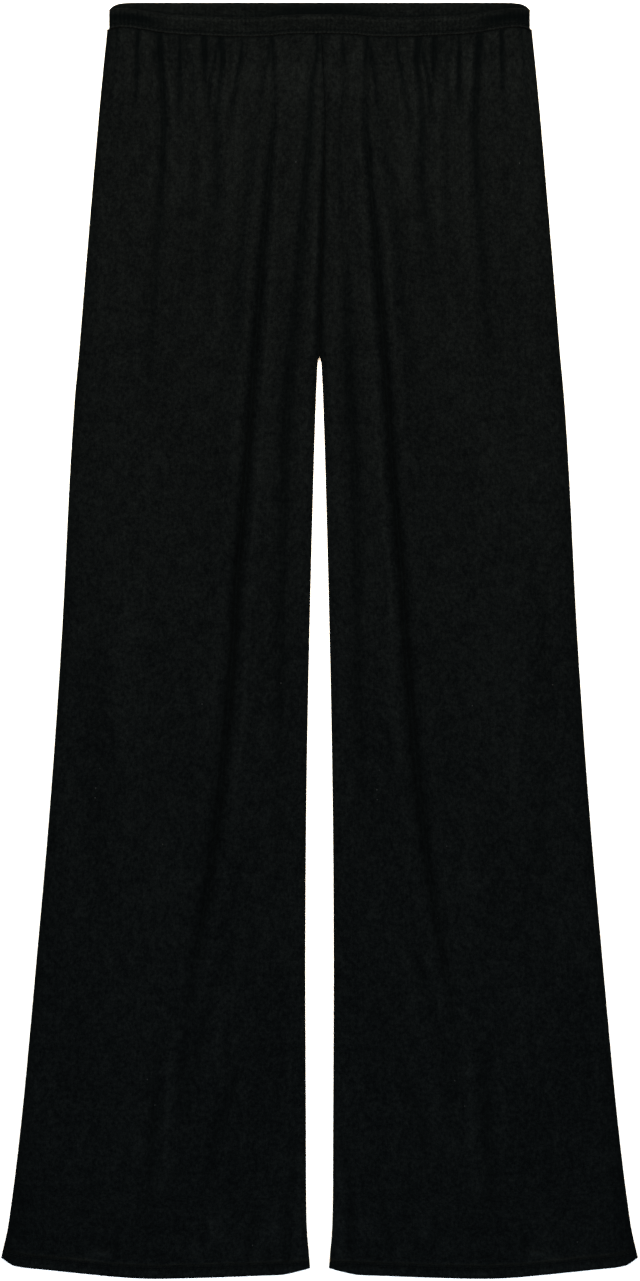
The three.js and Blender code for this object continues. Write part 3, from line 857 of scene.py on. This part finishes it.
cloths = {}
for leg in sideOf:
    cloths[f"front_{leg}"] = frontSheet(leg)
    cloths[f"back_{leg}"] = backSheet(leg)
for half in ("front", "back"):
    cloths[f"waistband_{half}"] = bandSheet(half)
    closedTube(cloths[f"waistband_{half}"])
for node, piece in cloths.items():
    thicken(piece, band["casing"] if node.startswith("waistband") else trousers["clothThickness"])
print("cloth made:", {piece.name: len(piece.data.polygons) for piece in cloths.values()})


# Stitching. One stitch is shaped by hand and copied along each row.
stitching = {
    "sides": 6,
    "straight": 0.5,  # the share of its length between its two tips
    "tips": ((0.14, 0.92), (0.11, 0.6)),  # each step's reach and how much narrower it ends
    "dip": 0.35,
    "proud": 0.12,
    "wander": 0.12,
    "hemEnds": (1.4, 1.2),
}


def makeStitch():
    length, thick = hem["stitchLength"] * mm, hem["thread"] * mm
    choose()
    bpy.ops.mesh.primitive_cylinder_add(
        vertices=stitching["sides"], radius=thick / 2, depth=length * stitching["straight"],
        rotation=(0, math.pi / 2, 0),
    )
    stitch = bpy.context.object
    bpy.ops.object.transform_apply(location=False, rotation=True, scale=False)
    lastReach = stitching["tips"][-1][0]
    for end in (-1, 1):
        for reach, size in stitching["tips"]:
            mode("EDIT")
            bpy.ops.mesh.select_mode(type="FACE")
            bpy.ops.mesh.select_all(action="DESELECT")
            mode("OBJECT")
            tip = max(stitch.data.polygons, key=lambda face: face.center.x * end)
            tip.select = True
            mode("EDIT")
            step = (end * reach * length, 0, -stitching["dip"] * thick * reach / lastReach)
            bpy.ops.mesh.extrude_region_move(TRANSFORM_OT_translate={"value": step})
            bpy.ops.transform.resize(value=(1, size, size))
            mode("OBJECT")
    stitch.name = "one_stitch"
    return stitch


def sewRow(name, stitch, before, after, normal):
    # each copy runs from a place before it to a place after it, lying on the cloth
    along = unit(after - before)
    aside = unit(np.cross(normal, along))
    up = np.cross(along, aside)
    middle = (before + after) / 2 + up * stitching["proud"]
    shape = np.array([vertex.co for vertex in stitch.data.vertices]) / mm
    turns = np.stack([along, aside, up], axis=1)
    corners = (middle[:, None] + np.einsum("vk,nkx->nvx", shape, turns)).reshape(-1, 3) * mm
    faces = [
        [corner + copy * len(shape) for corner in face.vertices]
        for copy in range(len(middle))
        for face in stitch.data.polygons
    ]
    mesh = bpy.data.meshes.new(name)
    mesh.from_pydata(corners.tolist(), [], faces)
    mesh.update()
    row = bpy.data.objects.new(name, mesh)
    bpy.context.scene.collection.objects.link(row)
    row.select_set(True)
    bpy.context.view_layer.objects.active = row
    bpy.ops.object.shade_smooth()
    return row


def rowPlaces(placeAt, start, end, pitch):
    # places before and after each stitch, and the way the cloth faces there
    middles = np.arange(start + pitch / 2, end - pitch / 2, pitch)
    middles = middles + rng.uniform(-stitching["wander"], stitching["wander"], len(middles))
    half = hem["stitchLength"] / 2
    before, after = placeAt(middles - half, 0), placeAt(middles + half, 0)
    lower, upper = placeAt(middles, 1), placeAt(middles, -1)
    normal = np.cross(after - before, upper - lower)
    return before, after, unit(normal * np.sign(normal[:, 2:]))


def onHem(leg, rowUp):
    def place(out, aside):
        out, down, high, _ = frontFace(leg, out, trousers["length"] - rowUp + aside + 0 * out)
        return np.stack([sideOf[leg] * out, waistY - down, high], axis=1)

    return place


def onBand(rowUp):
    def place(out, aside):
        share = 1 - (rowUp - aside) / band["height"] + 0 * out
        down = bandTop("front", out) + share * band["height"]
        return np.stack([out, waistY - down, bandFace("front", out, share)], axis=1)

    return place


stitch = makeStitch()
sewing = {}
for leg in sideOf:
    rows = []
    for rowUp in hem["rowsUp"]:
        level = trousers["length"] - rowUp
        inner, outer = stitching["hemEnds"]
        ends = float(inseamOut(level)) + inner, float(sideCurve(level)) - outer
        rows.append(rowPlaces(onHem(leg, rowUp), *ends, hem["stitchPitch"]))
    sewing[f"hem_stitching_{leg}"] = [np.concatenate(part) for part in zip(*rows)]
edge = band["halfWidth"] - band["stitchClear"]
rows = [rowPlaces(onBand(rowUp), -edge, edge, band["stitchPitch"]) for rowUp in band["seamRowsUp"]]
sewing["waist_stitching"] = [np.concatenate(part) for part in zip(*rows)]
threads = {name: sewRow(name, stitch, *places) for name, places in sewing.items()}
bpy.data.objects.remove(stitch)
print("sewn:", {name: len(places[0]) for name, places in sewing.items()}, "stitches")


# Finishes. A Wire is a socket that sums and multiplies as numbers do.

def maths(operation, turned=False):
    def work(wire, other):
        return wire.finish.math(operation, *((other, wire) if turned else (wire, other)))

    return work


class Wire:
    def __init__(self, finish, socket):
        self.finish, self.socket = finish, socket

    __add__ = __radd__ = maths("ADD")
    __sub__, __rsub__ = maths("SUBTRACT"), maths("SUBTRACT", turned=True)
    __mul__ = __rmul__ = maths("MULTIPLY")
    __pow__ = maths("POWER")


class Finish:
    def __init__(self, name):
        self.material = bpy.data.materials.new(name)
        self.material.use_nodes = True
        self.tree = self.material.node_tree
        self.tree.nodes.clear()

    def node(self, kind, settings=None, output=0, **values):
        made = self.tree.nodes.new("ShaderNode" + kind)
        for name, value in (settings or {}).items():
            setattr(made, name, value)
        for name, value in values.items():
            socket = made.inputs[int(name[5:]) if name.startswith("input") else name.replace("_", " ")]
            if isinstance(value, Wire):
                self.tree.links.new(value.socket, socket)
            else:
                socket.default_value = value
        return Wire(self, made.outputs[output]) if len(made.outputs) else made

    def math(self, operation, *values):
        inputs = {f"input{k}": value for k, value in enumerate(values)}
        return self.node("Math", {"operation": operation}, **inputs)

    def scaled(self, chart, across, along, turn=0.0):
        # the chart counted in steps of these many millimetres
        steps = (1 / (across * mm), 1 / (along * mm), 1)
        return self.node("Mapping", Vector=chart, Rotation=(0, 0, turn), Scale=steps)

    def noise(self, chart, across, along, detail=2.0, turn=0.0, offset=0.0):
        steps = self.scaled(chart, across, along, turn)
        moved = self.node("VectorMath", input0=steps, input1=(0, 0, offset))
        return self.node("TexNoise", Vector=moved, Scale=1.0, Detail=detail, Roughness=0.55)

    def mixColour(self, share, first, second):
        colours = {"input0": share, "input6": first, "input7": second}
        return self.node("Mix", {"data_type": "RGBA"}, output=2, **colours)

    def surface(self, fixed, **values):
        # the shader and the output; fixed names what is the same all over
        shader = self.node("BsdfPrincipled", **values)
        for name, value in fixed.items():
            shader.socket.node.inputs[name].default_value = value
        self.node("OutputMaterial", Surface=shader)
        return self.material


jersey = {
    # the first two colours are the ends of the cloth's uneven tone, and the crests are also painted towards
    # the paler one as a highlight; the third is the painted shade in the furrows
    "shade": (0.0001, 0.0002, 0.0003, 1),
    "wornAndPaintedHighlight": (0.0018, 0.0024, 0.0025, 1),
    "paintedShadeColour": (0.0002, 0.0004, 0.0005, 1),
    # how much painted shade the furrows get, how much rougher they turn there, and how much painted
    # highlight the crests get
    "paintedShadeDark": 0.6,
    "furrowMatt": 0.2,
    "crestLight": 0.95,
    "contrast": 2.1,
    "patchContrast": 0.6,
    "broadContrast": 0.35,
    "wornBend": 1.6,
    "sparkle": 0.24,
    "lint": (0.0075, 0.0085, 0.009, 1),
    "lintSize": 0.02,
    "lintSpacing": (23, 31, 0.4),
    "roughness": 0.5,
    "specular": 0.0062,
    "gloss": (0.8, 0.96, 1, 1),
    "sheen": 0.004,
    "broad": (60, 140),  # lengths across and along the cloth, from here to the wale
    "patch": (9, 16),
    "grain": (2.75, 3.3),
    "slub": (0.9, 7),
    "pebble": (1.15, 1.38),
    "wale": (0.74, 3.6),
    "waleScale": 0.500015916,
    "waleWander": 1.4,
    "relief": 0.3,
    "height": {"grain": 0.55, "pebble": 0.3, "wales": 0.1, "slub": 0.2},
    "mottle": {"grain": 0.6, "pebble": 0.2, "slub": 0.2},
}


def jerseyFinish(name, look):
    finish = Finish(name)
    chart = finish.node("UVMap", {"uv_map": "cloth"})
    broad = finish.noise(chart, *look["broad"], 2)
    patch = finish.noise(chart, *look["patch"], 2, offset=3.1)
    grain = finish.noise(chart, *look["grain"], 2.5, offset=7.7)
    slub = finish.noise(chart, *look["slub"], 1.5, turn=0.12, offset=1.9)
    pebble = finish.node(
        "TexVoronoi", {"feature": "SMOOTH_F1"}, Smoothness=0.6, Scale=1.0,
        Vector=finish.scaled(chart, *look["pebble"]),
    )
    wales = finish.node(
        "TexWave", output=1, Scale=look["waleScale"], Distortion=look["waleWander"], Detail=1.0,
        Vector=finish.scaled(chart, *look["wale"]),
    )
    # the furrow attribute: painted shade above 0, painted highlight below 0
    furrow = finish.node("Attribute", {"attribute_name": "furrow"}, output=2)
    high, mottle = look["height"], look["mottle"]
    height = high["grain"] * grain + high["pebble"] * (1 - pebble)
    height = height + high["wales"] * wales + high["slub"] * slub
    crepe = mottle["grain"] * grain + mottle["pebble"] * (1 - pebble) + mottle["slub"] * slub
    # proud is the painted highlight
    proud = finish.math("MAXIMUM", furrow * -1, 0)
    shade = look["contrast"] * (crepe - 0.5) + look["patchContrast"] * patch + look["broadContrast"] * broad
    # the painted highlight lifts the tone towards the paler colour
    shade = finish.math("MAXIMUM", shade + look["crestLight"] * proud, 0) ** look["wornBend"]
    lint = finish.node("TexVoronoi", Scale=1.0, Vector=finish.scaled(chart, *look["lintSpacing"]))
    lint = finish.math("LESS_THAN", lint, look["lintSize"])
    cloth = finish.mixColour(shade, look["shade"], look["wornAndPaintedHighlight"])
    # the painted shade darkens the colour towards the shade colour
    cloth = finish.mixColour(finish.math("MAXIMUM", look["paintedShadeDark"] * furrow, 0), cloth, look["paintedShadeColour"])
    colour = finish.mixColour(lint, cloth, look["lint"])
    bump = finish.node("Bump", Height=height, Strength=1.0, Distance=look["relief"] * mm)
    rough = look["roughness"] + look["sparkle"] * (0.5 - crepe) + look["furrowMatt"] * furrow
    fixed = {
        "Specular IOR Level": look["specular"], "Specular Tint": look["gloss"],
        "Sheen Weight": look["sheen"],
    }
    return finish.surface(fixed, Base_Color=colour, Normal=bump, Roughness=rough)


thread = {
    "shade": (0.0008, 0.0011, 0.0012, 1),
    "bright": (0.002, 0.0026, 0.0028, 1),
    "twist": 0.5,
    "relief": 0.1,
    "roughness": 0.5,
    "specular": 0.01,
}


def threadFinish(name, look):
    finish = Finish(name)
    place = finish.node("TexCoord", output=3)
    twist = finish.noise(place, look["twist"], look["twist"], 1.0)
    colour = finish.mixColour(twist, look["shade"], look["bright"])
    bump = finish.node("Bump", Height=twist, Strength=0.6, Distance=look["relief"] * mm)
    fixed = {"Roughness": look["roughness"], "Specular IOR Level": look["specular"]}
    return finish.surface(fixed, Base_Color=colour, Normal=bump)


bandLook = dict(jersey, grain=(2.0, 2.2), contrast=2.5, paintedShadeDark=0.9, furrowMatt=0.3, lint=jersey["wornAndPaintedHighlight"])
finishes = {
    "panel": jerseyFinish("black_jersey", jersey),
    "band": jerseyFinish("black_casing_jersey", bandLook),
    "thread": threadFinish("black_thread", thread),
}
for node, piece in cloths.items():
    piece.data.materials.append(finishes["band" if node.startswith("waistband") else "panel"])
for row in threads.values():
    row.data.materials.append(finishes["thread"])
print("finishes made:", [material.name for material in finishes.values()])


# Each piece rides on the trousers' one body and stands for its own solid.

for node, piece in cloths.items():
    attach(piece, "root")
    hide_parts(node)
for row in threads.values():
    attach(row, "root")


# A pale floor, soft light from above and a camera that looks straight down. Lengths are metres here.

studio = {
    "floorSize": 60,
    "floorDown": 0.0003,
    "floorShade": (0.9, 0.9, 0.9, 1),
    "floorMottle": 0.985,
    "floorRoughness": 0.95,
    "wallDistance": 29,
    "wallHeight": 7,
    "wallSides": 96,
    "wallDown": 0.01,
    "sideLight": 3.06,
    "sideAt": (3, 8),
    "sideTilt": 27,
    "sideSpread": 26,
    "sideShade": (0.83, 0.915, 1.0),
    "roomLight": 0.12,
    "cameraAt": (0.0004, -0.0002, 6),
    "seen": 1.0658,  # the length of floor that the camera takes in, from top to bottom
    "sensor": 36,
    "farthest": 100,
}
waistLight = {"at": (0, 0.75, 1.2), "tilt": 0, "size": (1.2, 1.2), "power": 44, "shade": (1, 0.71, 0.42)}
rakeLight = {"at": (0, 1.55, 0.8), "tilt": -57, "size": (1.6, 0.4), "power": 34, "shade": (0.91, 0.92, 0.77)}

choose()
bpy.ops.mesh.primitive_plane_add(size=studio["floorSize"], location=(0, 0, -studio["floorDown"]))
floor = bpy.context.object
floor.name = "floor"
paint = Finish("floor_white")
grain = paint.noise(paint.node("TexCoord", output=3), 4, 4, 2)
mottled = tuple(studio["floorMottle"] * c for c in studio["floorShade"])
floor.data.materials.append(paint.surface(
    {"Roughness": studio["floorRoughness"], "Specular IOR Level": 0.0},
    Base_Color=paint.mixColour(grain, studio["floorShade"], mottled),
))

# a far white wall all round, so that a low view looks onto a plain ground
choose()
bpy.ops.mesh.primitive_cylinder_add(
    vertices=studio["wallSides"], radius=studio["wallDistance"], depth=studio["wallHeight"],
    end_fill_type="NOTHING", location=(0, 0, studio["wallHeight"] / 2 - studio["wallDown"]),
)
wall = bpy.context.object
wall.name = "studio_wall"
mode("EDIT")
bpy.ops.mesh.select_all(action="SELECT")
bpy.ops.mesh.flip_normals()
mode("OBJECT")
bpy.ops.object.shade_smooth()
paint = Finish("wall_white")
glow = paint.node("Emission", Color=(1, 1, 1, 1), Strength=1.0)
paint.node("OutputMaterial", Surface=glow)
wall.data.materials.append(paint.material)

for name, side in (("soft_light_left", -1), ("soft_light_right", 1)):
    beside, above = studio["sideAt"]
    tilt = math.radians(studio["sideTilt"]) * side
    bpy.ops.object.light_add(type="SUN", location=(beside * side, 0, above), rotation=(0, tilt, 0))
    softLight = bpy.context.object
    softLight.name = name
    softLight.data.energy = studio["sideLight"]
    softLight.data.angle = math.radians(studio["sideSpread"])
    softLight.data.color = studio["sideShade"]


def areaLight(name, shape, lamp):
    bpy.ops.object.light_add(type="AREA", location=lamp["at"], rotation=(math.radians(lamp["tilt"]), 0, 0))
    glow = bpy.context.object
    glow.name = name
    glow.data.shape = shape
    glow.data.size, glow.data.size_y = lamp["size"]
    glow.data.energy = lamp["power"]
    glow.data.color = lamp["shade"]
    glow.visible_camera = False


areaLight("waist_light", "DISK", waistLight)
areaLight("rake_light", "RECTANGLE", rakeLight)  # from low beyond the waist, for what runs across

world = bpy.data.worlds.new("studio_room")
world.use_nodes = True
room = world.node_tree.nodes["Background"].inputs
room["Color"].default_value = (1, 1, 1, 1)
room["Strength"].default_value = studio["roomLight"]
bpy.context.scene.world = world

bpy.ops.object.camera_add(location=studio["cameraAt"])
camera = bpy.context.object
camera.data.sensor_width = studio["sensor"]
camera.data.lens = studio["sensor"] * studio["cameraAt"][2] / studio["seen"]
camera.data.clip_end = studio["farthest"]
bpy.context.scene.camera = camera
bpy.context.scene.view_settings.view_transform = "Standard"
print("light and camera set")
